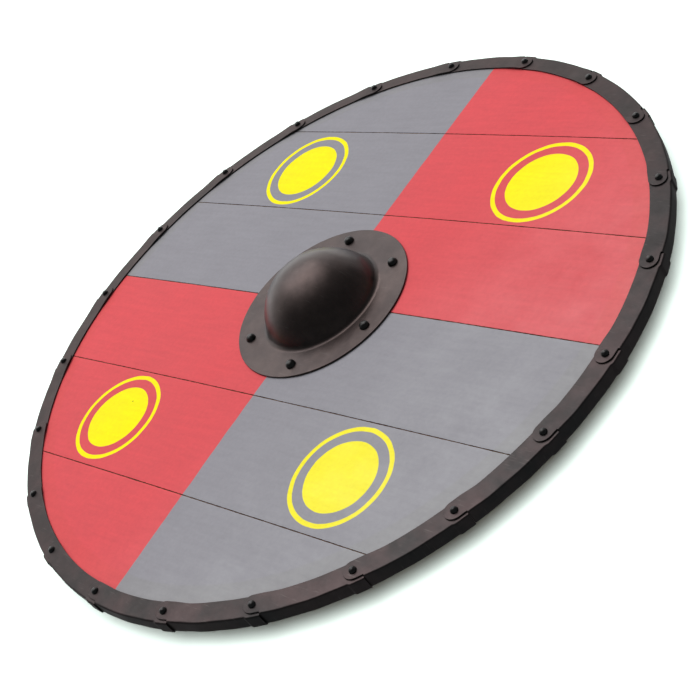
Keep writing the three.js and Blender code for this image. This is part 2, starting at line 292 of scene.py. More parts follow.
def studio_wall():
    """The world: fill that thins out upwards, and a soft patch of glow behind the shield."""
    world = bpy.data.worlds.new("studio")
    world.use_nodes = True
    tree = world.node_tree
    ray = node(tree, "ShaderNodeTexCoord").outputs["Generated"]
    middle = direction(LIGHT_AZIMUTH, WALL_ELEVATION)
    close = node(tree, "ShaderNodeVectorMath", {0: ray, 1: middle}, operation="DOT_PRODUCT")
    glow = node(tree, "ShaderNodeMapRange", {"Value": close.outputs["Value"],
                "From Min": WALL_EDGE, "From Max": WALL_FULL, "To Max": WALL_GLOW},
                interpolation_type="SMOOTHSTEP")
    height = node(tree, "ShaderNodeSeparateXYZ", {0: ray})
    fill = node(tree, "ShaderNodeMapRange", {"Value": height.outputs["Z"], "From Min": -0.1,
                "From Max": 0.4, "To Min": FILL_BELOW, "To Max": FILL_ABOVE})
    cool = node(tree, "ShaderNodeVectorMath", {0: FILL_COLOUR, "Scale": fill.outputs[0]},
                operation="SCALE")
    both = node(tree, "ShaderNodeVectorMath", {0: cool.outputs[0], 1: glow.outputs[0]})
    tree.links.new(both.outputs[0], tree.nodes["Background"].inputs["Color"])
    bpy.context.scene.world = world
    return world


print("world:", studio_wall().name)

# %% [markdown]
# ## Floor
# The floor is a pale table. It is hidden from the rays that light the shield, because a bright
# floor would fill the dark side of the steel. The softbox leaves it out, because the shadow would
# lie long towards the camera. A sun of the floor's own, broad and nearly overhead, burns it out to
# white and leaves a soft shadow only close to the shield. A white dome behind everything, seen only
# by the camera, closes the view when it looks low.

# %% Lay the floor and backdrop
FLOOR_REACH = 30  # metres, like the dome's radius
DOME_RADIUS = 20
FLOOR_COLOUR = "#8d9591"  # a little green, like the shadow on it
FLOOR_SUN = 16.0
SUN_ELEVATION, SUN_WIDTH = 73, 68


def floor_square():
    """Corners and face of a flat square round the origin."""
    a = FLOOR_REACH
    return [(-a, -a, 0), (a, -a, 0), (a, a, 0), (-a, a, 0)], [(0, 1, 2, 3)]


def studio_dome(rows=25, columns=49):
    """Points and faces of a ball round the studio, open at its poles."""
    turn, rise = np.meshgrid(np.linspace(0, 2 * np.pi, columns), np.linspace(-1.5, 1.5, rows))
    ball = [np.cos(rise) * np.cos(turn), np.cos(rise) * np.sin(turn), np.sin(rise)]
    points = DOME_RADIUS * np.stack(ball, -1).reshape(-1, 3)
    return points.tolist(), cells(rows, columns).tolist()


def stage_piece(name, form, glow, colour):
    """A piece of the studio from its points and faces; `glow` is its own light."""
    mesh = bpy.data.meshes.new(name)
    mesh.from_pydata(form[0], [], form[1])
    piece = bpy.data.objects.new(name, mesh)
    bpy.context.scene.collection.objects.link(piece)
    material, tree, shader, _ = new_material(name)
    shader.inputs["Base Color"].default_value = hex_colour(colour)
    shader.inputs["Roughness"].default_value = 0.9
    shader.inputs["Specular IOR Level"].default_value = 0
    shader.inputs["Emission Color"].default_value = (1, 1, 1, 1)
    shader.inputs["Emission Strength"].default_value = glow
    mesh.materials.append(material)
    for ray in ("diffuse", "glossy", "transmission", "volume_scatter", "shadow"):
        setattr(piece, f"visible_{ray}", False)
    return piece


floor = stage_piece("floor", floor_square(), 0.02, FLOOR_COLOUR)
backdrop = stage_piece("backdrop", studio_dome(), 1.0, "#000000")
floor_sun = hang("floor_sun", "SUN", LIGHT_AZIMUTH - 180, SUN_ELEVATION, SOFTBOX_DISTANCE)
floor_sun.data.energy = FLOOR_SUN
floor_sun.data.angle = np.radians(SUN_WIDTH)
sunlit = bpy.data.collections.new("sunlit")
sunlit.objects.link(floor)
floor_sun.light_linking.receiver_collection = sunlit
# a receiver collection with nothing but an exclusion in it leaves everything else lit
shaded = bpy.data.collections.new("out_of_the_softbox")
shaded.objects.link(floor)
shaded.collection_objects[0].light_linking.link_state = "EXCLUDE"
softbox.light_linking.receiver_collection = shaded
print("stage:", floor.name, backdrop.name)

# %% [markdown]
# ## Painted boards: the finish
# The front is satin paint brushed on pine. Two quarters are grey and two are red, and each quarter
# has a yellow spot with a ring round it. All of it is worked out from the place on the shield: the
# quarters from the signs of x and y, the spots from the distance to a centre, with x and y made
# positive first so that one spot serves all four quarters. A little noise is added to the place,
# so that the painted edges waver as a steady hand's do. The brush leaves streaks along the boards,
# in tone and in relief. A painted sheen pales the colour towards one side, a strip by the rim is a
# little darker and warmer, painted shade darkens the joints, and a few specks of dirt sit
# elsewhere.

# %% Mix the paint
GREY_PAINT = "#908d93"
RED_PAINT = "#da5358"
YELLOW_PAINT = "#fdee00"
PATTERN_MIDDLE = (-2, 2)  # where the painter's lines cross
SPOT_ACROSS, SPOT_UP = 178, 187  # centre of a spot, from that crossing
SPOT_RADIUS = 40.2
RING_RADIUS, RING_HALF = 53.8, 2.5
HAND_WAVER = 0.7
EDGE_SOFT = 0.25
SHEEN_AZIMUTH, SHEEN_WHITE = -20, 0.15  # the side that a painted sheen pales, and how much white it mixes in
STRIP_RADIUS, STRIP_TINT = 344, (0.98, 0.985, 0.945, 1)
SHADE_AND_SPECK_LEVEL = 0.14  # what the painted shade in the joints and the specks of dirt leave of the paint's brightness
SPECK_RADIUS, SPECK_SHARE, SPECKS_PER_METRE = 0.8, 0.08, 40
HAIR_RELIEF = 0.024


def painted_boards():
    """Satin acrylic paint on planed pine: dull between streaks, a soft gleam towards the light."""
    material, tree, shader, place = new_material("satin_paint_on_pine")
    shake = node(tree, "ShaderNodeTexNoise", {"Vector": place, "Scale": 55, "Detail": 2})
    centred = node(tree, "ShaderNodeVectorMath", {0: shake.outputs["Color"], 1: (0.5, 0.5, 0.5)},
                   operation="SUBTRACT")
    drawn = node(tree, "ShaderNodeMapping", {"Vector": place,
                 "Location": (-PATTERN_MIDDLE[0] * MM, -PATTERN_MIDDLE[1] * MM, 0)})
    moved = node(tree, "ShaderNodeVectorMath",
                 {0: centred.outputs[0], 1: (2 * HAND_WAVER * MM,) * 3, 2: drawn.outputs[0]},
                 operation="MULTIPLY_ADD")
    axis = node(tree, "ShaderNodeSeparateXYZ", {0: moved.outputs[0]})
    exact = node(tree, "ShaderNodeSeparateXYZ", {0: place})

    # quarters: red where x and y have the same sign
    east = node(tree, "ShaderNodeMapRange", {"Value": axis.outputs["X"],
                "From Min": -EDGE_SOFT * MM, "From Max": EDGE_SOFT * MM})
    north = node(tree, "ShaderNodeMath", {0: exact.outputs["Y"], 1: MIDDLE * MM},
                 operation="GREATER_THAN")
    unlike = node(tree, "ShaderNodeMath", {0: east.outputs[0], 1: north.outputs[0]},
                  operation="SUBTRACT")
    grey_part = node(tree, "ShaderNodeMath", {0: unlike.outputs[0]}, operation="ABSOLUTE")
    quarters = node(tree, "ShaderNodeMix", {0: grey_part.outputs[0], 6: hex_colour(RED_PAINT),
                    7: hex_colour(GREY_PAINT)}, data_type="RGBA")

    # spots and rings
    folded = node(tree, "ShaderNodeVectorMath", {0: moved.outputs[0]}, operation="ABSOLUTE")
    flat = node(tree, "ShaderNodeVectorMath", {0: folded.outputs[0], 1: (1, 1, 0),
                2: (-SPOT_ACROSS * MM, -SPOT_UP * MM, 0)}, operation="MULTIPLY_ADD")
    off = node(tree, "ShaderNodeVectorMath", {0: flat.outputs[0]}, operation="LENGTH")
    spot = node(tree, "ShaderNodeMapRange", {"Value": off.outputs["Value"],
                "From Min": (SPOT_RADIUS + EDGE_SOFT) * MM,
                "From Max": (SPOT_RADIUS - EDGE_SOFT) * MM})
    from_ring = node(tree, "ShaderNodeMath", {0: off.outputs["Value"], 1: RING_RADIUS * MM},
                     operation="SUBTRACT")
    ring_off = node(tree, "ShaderNodeMath", {0: from_ring.outputs[0]}, operation="ABSOLUTE")
    ring = node(tree, "ShaderNodeMapRange", {"Value": ring_off.outputs[0],
                "From Min": (RING_HALF + EDGE_SOFT) * MM,
                "From Max": (RING_HALF - EDGE_SOFT) * MM})
    yellow_part = node(tree, "ShaderNodeMath", {0: spot.outputs[0], 1: ring.outputs[0]},
                       operation="MAXIMUM")
    colour = node(tree, "ShaderNodeMix", {0: yellow_part.outputs[0], 6: quarters.outputs[2],
                  7: hex_colour(YELLOW_PAINT)}, data_type="RGBA")

    # streaks 6 mm wide along the boards, and clouds 60 mm wide where the coat is thin
    along = node(tree, "ShaderNodeMapping", {"Vector": place, "Scale": (18, 160, 1)})
    streak = node(tree, "ShaderNodeTexNoise", {"Vector": along.outputs[0], "Scale": 1,
                  "Detail": 3, "Roughness": 0.6})
    cloud = node(tree, "ShaderNodeTexNoise", {"Vector": place, "Scale": 16, "Detail": 4,
                 "Roughness": 0.62})
    grain = node(tree, "ShaderNodeTexNoise", {"Vector": place, "Scale": 220, "Detail": 4,
                 "Roughness": 0.6})
    coarse = node(tree, "ShaderNodeMath", {0: streak.outputs[0], 1: cloud.outputs[0]})
    both = node(tree, "ShaderNodeMath", {0: coarse.outputs[0], 1: grain.outputs[0]})
    tone = node(tree, "ShaderNodeMapRange", {"Value": both.outputs[0], "From Min": 1.1,
                "From Max": 1.9, "To Min": 0.925, "To Max": 1.06})
    # painted sheen: the colour is paled with white towards one side, in patches
    sideways = node(tree, "ShaderNodeVectorMath", {0: place, 1: direction(SHEEN_AZIMUTH, 0)},
                    operation="DOT_PRODUCT")
    painted_sheen = node(tree, "ShaderNodeMapRange", {"Value": sideways.outputs["Value"],
                   "From Min": 0.02, "From Max": 0.34, "To Max": SHEEN_WHITE},
                   interpolation_type="SMOOTHSTEP")
    uneven = node(tree, "ShaderNodeMath", {0: painted_sheen.outputs[0], 1: cloud.outputs[0]},
                  operation="MULTIPLY")
    pale = node(tree, "ShaderNodeMix", {0: uneven.outputs[0], 6: colour.outputs[2],
                7: (1, 1, 1, 1)}, data_type="RGBA")
    # the last strip by the rim is made a little darker and warmer
    level_place = node(tree, "ShaderNodeVectorMath", {0: moved.outputs[0], 1: (1, 1, 0)},
                       operation="MULTIPLY")
    outward = node(tree, "ShaderNodeVectorMath", {0: level_place.outputs[0]}, operation="LENGTH")
    strip = node(tree, "ShaderNodeMapRange", {"Value": outward.outputs["Value"],
                 "From Min": (STRIP_RADIUS - 1) * MM, "From Max": (STRIP_RADIUS + 1) * MM})
    strip_tint = node(tree, "ShaderNodeMix", {0: strip.outputs[0], 6: (1, 1, 1, 1),
                      7: STRIP_TINT}, data_type="RGBA")
    warmed = node(tree, "ShaderNodeVectorMath", {0: pale.outputs[2], 1: strip_tint.outputs[2]},
                  operation="MULTIPLY")
    toned = node(tree, "ShaderNodeVectorMath", {0: warmed.outputs[0], "Scale": tone.outputs[0]},
                 operation="SCALE")

    # painted shade darkens the paint along the open joints between boards
    from_joint = node(tree, "ShaderNodeMath", {0: exact.outputs["Y"], 1: MIDDLE * MM},
                      operation="SUBTRACT")
    beside = node(tree, "ShaderNodeMath", {0: from_joint.outputs[0], 1: BOARD_PITCH / 2 * MM},
                  operation="PINGPONG")
    ragged = node(tree, "ShaderNodeTexNoise", {"Vector": place, "Scale": 240, "Detail": 3})
    reach = node(tree, "ShaderNodeMapRange", {"Value": ragged.outputs[0], "From Min": 0.3,
                 "From Max": 0.7, "To Min": 0.35 * MM, "To Max": 0.75 * MM})
    painted_joint_shade = node(tree, "ShaderNodeMath", {0: beside.outputs[0], 1: reach.outputs[0]},
                operation="LESS_THAN")
    # and a few specks sit elsewhere, at chance points of a 25 mm net
    net = node(tree, "ShaderNodeTexVoronoi", {"Vector": place, "Scale": SPECKS_PER_METRE})
    near = node(tree, "ShaderNodeMath", {0: net.outputs["Distance"],
                1: SPECK_RADIUS * MM * SPECKS_PER_METRE}, operation="LESS_THAN")
    lot = node(tree, "ShaderNodeSeparateColor", {0: net.outputs["Color"]})
    drawn_lot = node(tree, "ShaderNodeMath", {0: lot.outputs[0], 1: SPECK_SHARE},
                     operation="LESS_THAN")
    speck = node(tree, "ShaderNodeMath", {0: near.outputs[0], 1: drawn_lot.outputs[0]},
                 operation="MULTIPLY")
    shade_and_specks = node(tree, "ShaderNodeMath", {0: painted_joint_shade.outputs[0], 1: speck.outputs[0]},
                  operation="MAXIMUM")
    # one darker copy of the paint serves both the painted joint shade and the specks of dirt
    shaded_and_specked_paint = node(tree, "ShaderNodeVectorMath", {0: toned.outputs[0], "Scale": SHADE_AND_SPECK_LEVEL},
                 operation="SCALE")
    with_shade_and_specks = node(tree, "ShaderNodeMix", {0: shade_and_specks.outputs[0], 6: toned.outputs[0],
                 7: shaded_and_specked_paint.outputs[0]}, data_type="RGBA")
    tree.links.new(with_shade_and_specks.outputs[2], shader.inputs["Base Color"])

    # the brush's hairs, drawn 2 mm apart so that they show, and a satin gloss
    hairs = node(tree, "ShaderNodeMapping", {"Vector": place, "Scale": (90, 500, 1)})
    hair = node(tree, "ShaderNodeTexNoise", {"Vector": hairs.outputs[0], "Scale": 1, "Detail": 2})
    relief = node(tree, "ShaderNodeMath", {0: streak.outputs[0], 1: hair.outputs[0]})
    bump = node(tree, "ShaderNodeBump", {"Height": relief.outputs[0], "Distance": HAIR_RELIEF * MM,
                "Strength": 1.0})
    tree.links.new(bump.outputs[0], shader.inputs["Normal"])
    gloss = node(tree, "ShaderNodeMapRange", {"Value": cloud.outputs[0], "From Min": 0.3,
                 "From Max": 0.7, "To Min": 0.55, "To Max": 0.65})
    tree.links.new(gloss.outputs[0], shader.inputs["Roughness"])
    shader.inputs["Specular IOR Level"].default_value = 0.06
    return material


PAINT = painted_boards()
print("finish:", PAINT.name)

# %% [markdown]
# The back and the edges of the boards are bare pine with a thin coat of oil. Pine sawn along the
# trunk shows long, wavering bands of darker late wood. Each board is cut from another place in
# the tree, so its number goes into the noise as a fourth coordinate.

# %% Saw the pine
def bare_pine():
    """Oiled pine: dull and warm, with wide bands of late wood that close to fine lines."""
    material, tree, shader, place = new_material("oiled_pine")
    axis = node(tree, "ShaderNodeSeparateXYZ", {0: place})
    from_joint = node(tree, "ShaderNodeMath", {0: axis.outputs["Y"], 1: MIDDLE * MM},
                      operation="SUBTRACT")
    counted = node(tree, "ShaderNodeMath", {0: from_joint.outputs[0], 1: 1 / (BOARD_PITCH * MM)},
                   operation="MULTIPLY")
    number = node(tree, "ShaderNodeMath", {0: counted.outputs[0]}, operation="FLOOR")
    own = node(tree, "ShaderNodeMath", {0: number.outputs[0], 1: 7.3}, operation="MULTIPLY")
    long = node(tree, "ShaderNodeMapping", {"Vector": place, "Scale": (0.9, 15, 15)})
    swirl = node(tree, "ShaderNodeTexNoise", {"Vector": long.outputs[0], "W": own.outputs[0],
                 "Scale": 1, "Detail": 1, "Distortion": 0.15}, noise_dimensions="4D")
    bands = node(tree, "ShaderNodeMath", {0: swirl.outputs[0], 1: 75}, operation="MULTIPLY")
    wave = node(tree, "ShaderNodeMath", {0: bands.outputs[0]}, operation="SINE")
    late = node(tree, "ShaderNodeMapRange", {"Value": wave.outputs[0], "From Min": -0.2,
                "From Max": 1.0}, interpolation_type="SMOOTHSTEP")
    fine = node(tree, "ShaderNodeMapping", {"Vector": place, "Scale": (18, 900, 900)})
    fibre = node(tree, "ShaderNodeTexNoise", {"Vector": fine.outputs[0], "Scale": 1, "Detail": 3})
    wood = node(tree, "ShaderNodeMix", {0: late.outputs[0], 6: hex_colour("#c59963"),
                7: hex_colour("#aa7848")}, data_type="RGBA")
    tone = node(tree, "ShaderNodeMapRange", {"Value": fibre.outputs[0], "From Min": 0.3,
                "From Max": 0.7, "To Min": 0.84, "To Max": 1.08})
    toned = node(tree, "ShaderNodeVectorMath", {0: wood.outputs[2], "Scale": tone.outputs[0]},
                 operation="SCALE")
    tree.links.new(toned.outputs[0], shader.inputs["Base Color"])
    bump = node(tree, "ShaderNodeBump", {"Height": fibre.outputs[0], "Distance": 0.12 * MM})
    tree.links.new(bump.outputs[0], shader.inputs["Normal"])
    gloss = node(tree, "ShaderNodeMapRange", {"Value": late.outputs[0], "To Min": 0.62,
                 "To Max": 0.48})
    tree.links.new(gloss.outputs[0], shader.inputs["Roughness"])
    return material


PINE = bare_pine()
print("finish:", PINE.name)

# %% [markdown]
# ## Painted boards: the shape
# A board is a bar whose section is a flat rectangle with eased edges, carried along X. To make the
# disc, every point's x is a share of half the disc's width at that point's own y, so the bar's
# ends come out curved by themselves. Points of the face are then raised by the crown. The two
# middle boards have half the hand hole cut from one edge: along that stretch the edge follows the
# hole's circle instead of the joint.

# %% Shape the boards
HOLE_RADIUS = 60
FACE_COLUMNS = 32
DISC_CLEAR = 0.4  # a board's long edge stops this far inside the disc, where it has no length
PAINT_DEPTH = 1.2  # the paint runs this far over the edge of the face


def bar_rings(near, far, bottom, top, ease, columns):
    """Sections of a bar at many stations, as across and level: along the top from the near edge to
    the far edge, then back along the bottom. The corners are quarter circles of radius `ease`,
    which is a row per station of near-top, far-top, far-bottom and near-bottom."""
    quarter = np.linspace(0, np.pi / 2, 5)
    share = (1 - np.cos(np.linspace(0, np.pi, columns + 2)[1:-1])) / 2 * 0.3
    share = share + np.linspace(0, 1, columns + 2)[1:-1] * 0.7
    rows = []
    for first, last, height, sign, corner_a, corner_b in (
        (near, far, top, 1, 0, 1),
        (far, near, bottom, -1, 2, 3),
    ):
        a, b = ease[:, corner_a, None], ease[:, corner_b, None]
        first, last, height = first[:, None], last[:, None], height[:, None]
        start = first + sign * a * (1 - np.cos(quarter))
        end = last - sign * b * (1 - np.cos(quarter[::-1]))
        flat = start[:, -1:] + (end[:, :1] - start[:, -1:]) * share
        across = np.hstack([start, flat, end])
        level = np.hstack([
            height - sign * a * (1 - np.sin(quarter)),
            np.repeat(height, columns, 1),
            height - sign * b * (1 - np.sin(quarter[::-1])),
        ])
        rows.append(np.stack([across, level], -1))
    return np.concatenate(rows, 1)


def bar_faces(stations, around):
    """Cells round and along a bar, and a ladder of cells from top to bottom that shuts each end."""
    rung = np.arange(around // 2 - 1)
    ladder = np.stack([rung, rung + 1, around - 2 - rung, around - 1 - rung], -1)
    last = (stations - 1) * around
    return np.vstack([cells(stations, around, loop=True), ladder[:, ::-1], ladder + last])


def board(number):
    """One board of the disc, numbered from +Y."""
    low, high = extent(f"board_{number}")
    widest = WOOD_RADIUS - DISC_CLEAR
    near, far = max(low[1], -widest), min(high[1], widest)
    hole = HOLE_RADIUS / WOOD_RADIUS
    outside = np.linspace(hole, 1, 130)[1:]
    inside = hole * np.sin(np.linspace(-np.pi / 2, np.pi / 2, 61))
    share = np.concatenate([-outside[::-1], inside, outside])
    near = np.full(len(share), near)
    far = np.full(len(share), far)
    along = share * WOOD_RADIUS
    edge = np.sqrt(np.maximum(HOLE_RADIUS**2 - along**2, 0) / (1 - share**2 + 1e-9))
    if number == BOARDS // 2:
        near = np.maximum(near, MIDDLE + edge)
    if number == BOARDS // 2 + 1:
        far = np.minimum(far, MIDDLE - edge)
    worn = np.stack([unevenness(10 * number + i, 160, along) for i in range(4)], 1)
    nicks = np.stack([unevenness(90 * number + i, 24, along) for i in range(4)], 1)
    ease = 0.45 + 0.12 * worn + 0.3 * np.clip(nicks - 0.9, 0, 1)
    ones = np.ones(len(share))
    rings = bar_rings(near, far, BACK * ones, FACE * ones, ease, FACE_COLUMNS)
    across, level = rings[..., 0], rings[..., 1]
    x = share[:, None] * np.sqrt(WOOD_RADIUS**2 - across**2)
    on_top = level > (FACE + BACK) / 2
    level = level + np.where(on_top, crown(np.hypot(x, across)), 0)
    planed = np.where(on_top, 0.1, 0.08) * unevenness(number, 110, x, across)
    points = np.stack([x, across, level + planed], -1).reshape(-1, 3)
    faces = bar_faces(len(share), rings.shape[1])
    front = points[faces][..., 2].mean(1) > FACE - PAINT_DEPTH
    return make_piece(f"painted_board_{number}", points, faces, f"board_{number}",
                      [PAINT, PINE], look=np.where(front, 0, 1))


boards = [board(number) for number in range(1, BOARDS + 1)]
print("boards:", len(boards), "of", len(boards[0].data.polygons), "faces")

# %% [markdown]
# ## Blackened steel: the finish
# The rim and the boss are mild steel blackened in the forge and rubbed with wax. The black layer
# is iron oxide, which is hardly a metal to the eye: it is nearly black face on and gives back the
# softbox as a broad satin glow. Its tone drifts between warm and neutral in patches, with fine
# scratches and some grey rubbing where cloths and hands have been.

# %% Blacken the steel
def blackened_steel(name, warm, cool, gleam, glance):
    """Forge-blackened and waxed mild steel: a broad satin gloss, with patches a few fingers wide.
    `gleam` is its roughness, and `glance` colours what it mirrors at a glancing angle."""
    material, tree, shader, place = new_material(name)
    patch = node(tree, "ShaderNodeTexNoise", {"Vector": place, "Scale": 19, "Detail": 5,
                 "Roughness": 0.6})
    drift = node(tree, "ShaderNodeMapRange", {"Value": patch.outputs[0], "From Min": 0.4,
                 "From Max": 0.62})
    steel = node(tree, "ShaderNodeMix", {0: drift.outputs[0], 6: hex_colour(warm),
                 7: hex_colour(cool)}, data_type="RGBA")
    slanted = node(tree, "ShaderNodeMapping", {"Vector": place, "Rotation": (0, 0, 0.7),
                   "Scale": (60, 900, 60)})
    scratch = node(tree, "ShaderNodeTexNoise", {"Vector": slanted.outputs[0], "Scale": 1,
                   "Detail": 2})
    rubbed = node(tree, "ShaderNodeMapRange", {"Value": scratch.outputs[0], "From Min": 0.66,
                  "From Max": 0.8, "To Max": 0.5})
    bright = node(tree, "ShaderNodeMix", {0: rubbed.outputs[0], 6: steel.outputs[2],
                  7: hex_colour("#5b5654")}, data_type="RGBA")
    fleck = node(tree, "ShaderNodeTexNoise", {"Vector": place, "Scale": 110, "Detail": 6,
                 "Roughness": 0.7})
    scale = node(tree, "ShaderNodeMapRange", {"Value": fleck.outputs[0], "From Min": 0.3,
                 "From Max": 0.7, "To Min": 0.84, "To Max": 1.14})
    mottled = node(tree, "ShaderNodeVectorMath", {0: bright.outputs[2], "Scale": scale.outputs[0]},
                   operation="SCALE")
    tree.links.new(mottled.outputs[0], shader.inputs["Base Color"])
    grain = node(tree, "ShaderNodeTexNoise", {"Vector": place, "Scale": 420, "Detail": 3,
                 "Roughness": 0.6})
    gloss = node(tree, "ShaderNodeMapRange", {"Value": patch.outputs[0], "From Min": 0.3,
                 "From Max": 0.7, "To Min": gleam - 0.05, "To Max": gleam + 0.05})
    tree.links.new(gloss.outputs[0], shader.inputs["Roughness"])
    bump = node(tree, "ShaderNodeBump", {"Height": grain.outputs[0], "Distance": 0.03 * MM})
    tree.links.new(bump.outputs[0], shader.inputs["Normal"])
    shader.inputs["Metallic"].default_value = 0.9
    shader.inputs["Specular Tint"].default_value = hex_colour(glance)
    return material


RIM_STEEL = blackened_steel("forge_blackened_steel_rim", "#383030", "#2f2d2d", 0.42, "#e2dad8")
BOSS_STEEL = blackened_steel("forge_blackened_steel_boss", "#413735", "#393130", 0.37, "#ffffff")
print("finish:", RIM_STEEL.name, BOSS_STEEL.name)

# %% [markdown]
# ## Rim channels: the shape
# A rim channel starts as a flat strip of sheet: a front leg, a side wall and a back leg. It is
# folded over the edge of the boards, and its front end is cut to a rounded tongue that lies on the
# next channel under the rivet. So the strip is laid out flat first, with u along the rim and a
# column of points for each place across the fold. Cells that the tongue's outline has cut away
# are left out, and every open edge gets a wall of the sheet's thickness.

# %% Fold a sheet that is cut to an outline
def sheet_shell(outer, inner, kept):
    """Points and faces of a sheet whose two faces lie on the same grid. `kept` says which cells
    are metal; a cell's side with no metal beyond it gets a wall from one face to the other."""
    rows, columns = outer.shape[:2]
    number = np.arange(rows * columns).reshape(rows, columns)
    a, b = number[:-1, :-1], number[:-1, 1:]
    c, d = number[1:, 1:], number[1:, :-1]
    framed = np.pad(kept, 1)
    far = rows * columns
    faces = [np.stack([a, b, c, d], -1)[kept], np.stack([d, c, b, a], -1)[kept] + far]
    for p, q, beyond in (
        (a, b, framed[:-2, 1:-1]),
        (b, c, framed[1:-1, 2:]),
        (c, d, framed[2:, 1:-1]),
        (d, a, framed[1:-1, :-2]),
    ):
        bare = kept & ~beyond
        faces.append(np.stack([q[bare], p[bare], p[bare] + far, q[bare] + far], -1))
    faces = np.vstack(faces)
    used, faces = np.unique(faces, return_inverse=True)
    points = np.concatenate([outer.reshape(-1, 3), inner.reshape(-1, 3)])[used]
    return points, faces.reshape(-1, 4)


print("sheet tool ready")

# %% [markdown]
# The side wall is pushed out where it swallows the channel before it, and the front leg is stepped
# up where its tongue climbs on the next one. Those two steps are S-curves along u. Chance widths
# and slight waves make each channel its own, and they fade out at the laps so that the pieces
# still fit.

# %% Make the channels
LAP_START = 8.3
TONGUE_LENGTH = 10.5
TONGUE_SETBACK = 0.4
SWELL_END = 5.5
SETTLE = 4.0  # the side comes back in this length
RISE = 25.0  # and the face climbs on the next channel in this one
EASE = 0.35
TAB_LENGTH = 4.5  # of the side wall, past the root
FADE = (12, 30)  # chance shape is gone this near an end and whole this far from it

rivet_spots = [np.mean(extent(f"rim_rivet_{n:02d}"), 0) for n in range(1, CHANNELS + 1)]
rivet_turns = np.array([np.arctan2(spot[1], spot[0]) for spot in rivet_spots])


def eased(distance):
    """How far a cut edge falls away at a distance inside it: a quarter circle of radius EASE."""
    inside = np.clip(1 - distance / EASE, 0, 1)
    return EASE * (1 - np.sqrt(1 - inside**2))


def stations_along(length):
    """Where the rows of points stand along u: close at cut ends and joggles, wide between."""
    root = length - LAP_START - 0.3
    close = np.array([0, 0.05, 0.15, 0.35])
    start = np.concatenate([close - LAP_START, np.arange(-7.2, SWELL_END, 1.6)])
    step = np.linspace(SWELL_END, SWELL_END + SETTLE, 9)
    middle = np.linspace(SWELL_END + SETTLE, root - RISE, 20)[1:-1]
    rise = np.linspace(root - RISE, root - 0.5, 12)
    return np.concatenate([start, step, middle, rise, root - close[::-1]]), root


